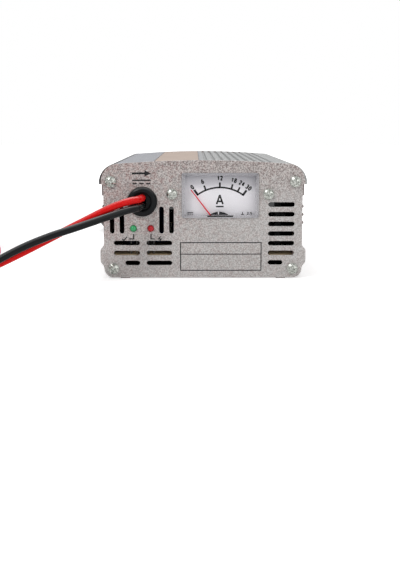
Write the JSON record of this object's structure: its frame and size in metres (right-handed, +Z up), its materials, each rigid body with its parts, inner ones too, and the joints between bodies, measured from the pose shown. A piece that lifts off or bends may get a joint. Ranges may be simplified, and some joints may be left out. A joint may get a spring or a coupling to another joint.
{
  "type": "car battery charger",
  "caption": "Bench battery charger in a finned metal case with an ammeter, a cooling fan, a coiled mains cord with plug, and red and black leads with spring clamps.",
  "frame": {"origin": "on the table, under the middle of the case", "axes": "+X to the right seen from the meter end, +Y from the meter end to the fan end, +Z up"},
  "size_m": [0.2292, 0.3322, 0.054],
  "materials": {
    "case_aluminium": "anodised, satin",
    "base_aluminium": "dark satin coat",
    "copper_label": "satin metallic film",
    "panel_powder": "fine speckled powder coat",
    "screw_zinc": "zinc plated",
    "lens_clear": "clear moulded plastic",
    "meter_black": "moulded",
    "dial_print": "pale printed plate",
    "pointer_red": "red lacquer",
    "iron": "bare",
    "copper_wire": "enamelled wire",
    "brass": "bright",
    "lamp_green": "clear tinted",
    "lamp_red": "clear tinted",
    "grommet_rubber": "matt black",
    "fan_plastic": "moulded black",
    "shaft_steel": "ground",
    "board": "tan laminate",
    "ferrite": "dark ferrite",
    "winding_tape": "yellow tape",
    "capacitor_sleeve": "printed sleeve",
    "component_black": "moulded",
    "terminal_green": "moulded",
    "fuse_glass": "glass tube with plated caps",
    "sink_aluminium": "black anodised extrusion",
    "lead_red": "glossy sheath",
    "lead_black": "glossy sheath",
    "cord_black": "satin sheath",
    "plug_black": "moulded",
    "pin_nickel": "nickel plated",
    "clamp_steel": "plated sheet",
    "spring_steel": "plated wire"
  },
  "bodies": {
    "charger": {"housing_cover": "case_aluminium", "housing_base": "base_aluminium", "top_label": "copper_label", "front_panel": "panel_powder", "rear_panel": "panel_powder", "panel_screws": "screw_zinc", "meter_lens": "lens_clear", "meter_case": "meter_black", "meter_dial": "dial_print", "meter_hub_cover": "meter_black", "meter_yoke": "iron", "meter_magnet": "iron", "meter_terminals": "brass", "meter_screws": "screw_zinc", "led_green": "lamp_green", "led_red": "lamp_red", "out_grommet": "grommet_rubber", "in_grommet": "grommet_rubber", "fan_frame": "fan_plastic", "fan_stator": "copper_wire", "fan_screws": "screw_zinc", "main_board": "board", "transformer_core": "ferrite", "transformer_winding": "winding_tape", "mains_capacitors": "capacitor_sleeve", "output_capacitors": "capacitor_sleeve", "output_choke": "copper_wire", "bridge_rectifier": "component_black", "mains_terminal": "terminal_green", "fuse": "fuse_glass", "heat_sink": "sink_aluminium", "power_transistors": "component_black", "red_inner_lead": "lead_red", "black_inner_lead": "lead_black", "mains_inner_cord": "cord_black", "red_lead": "lead_red", "red_lead_coil": "lead_red", "red_lead_end": "lead_red", "black_lead": "lead_black", "black_lead_coil": "lead_black", "mains_cord": "cord_black", "mains_cord_coil": "cord_black", "mains_cord_end": "cord_black", "mains_plug_body": "plug_black", "mains_plug_pins": "pin_nickel", "red_clamp_fixed_jaw": "clamp_steel", "red_clamp_fixed_grip": "lead_red", "black_clamp_fixed_jaw": "clamp_steel", "black_clamp_fixed_grip": "lead_black", "clamp_pins": "shaft_steel", "clamp_springs": "spring_steel"},
    "fan_rotor": {"fan_impeller": "fan_plastic", "fan_shaft": "shaft_steel"},
    "ammeter_pointer": {"meter_pointer": "pointer_red", "meter_coil": "copper_wire"},
    "red_clamp_jaw": {"red_clamp_moving_jaw": "clamp_steel", "red_clamp_moving_grip": "lead_red"},
    "black_clamp_jaw": {"black_clamp_moving_jaw": "clamp_steel", "black_clamp_moving_grip": "lead_black"}
  },
  "joints": [
    {"name": "fan_spin", "type": "hinge", "parent": "charger", "child": "fan_rotor", "pos_m": [0, 0.0785, 0.0262], "axis": [0, 1, 0], "continuous": true},
    {"name": "needle_swing", "type": "hinge", "parent": "charger", "child": "ammeter_pointer", "pos_m": [0.0074, -0.0821, 0.0237], "axis": [0, 1, 0], "range_deg": [0, 75], "stiffness_Nm_per_rad": 0.000004},
    {"name": "red_clamp_open", "type": "hinge", "parent": "charger", "child": "red_clamp_jaw", "pos_m": [-0.1355, 0.06, 0.0086], "axis": [0, 0, 1], "range_deg": [0, 30], "stiffness_Nm_per_rad": 0.4, "springref_deg": -20.05, "deforming": ["clamp_springs"]},
    {"name": "black_clamp_open", "type": "hinge", "parent": "charger", "child": "black_clamp_jaw", "pos_m": [-0.133, -0.026, 0.0086], "axis": [0, 0, -1], "range_deg": [0, 30], "stiffness_Nm_per_rad": 0.4, "springref_deg": -20.05, "deforming": ["clamp_springs"]}
  ]
}
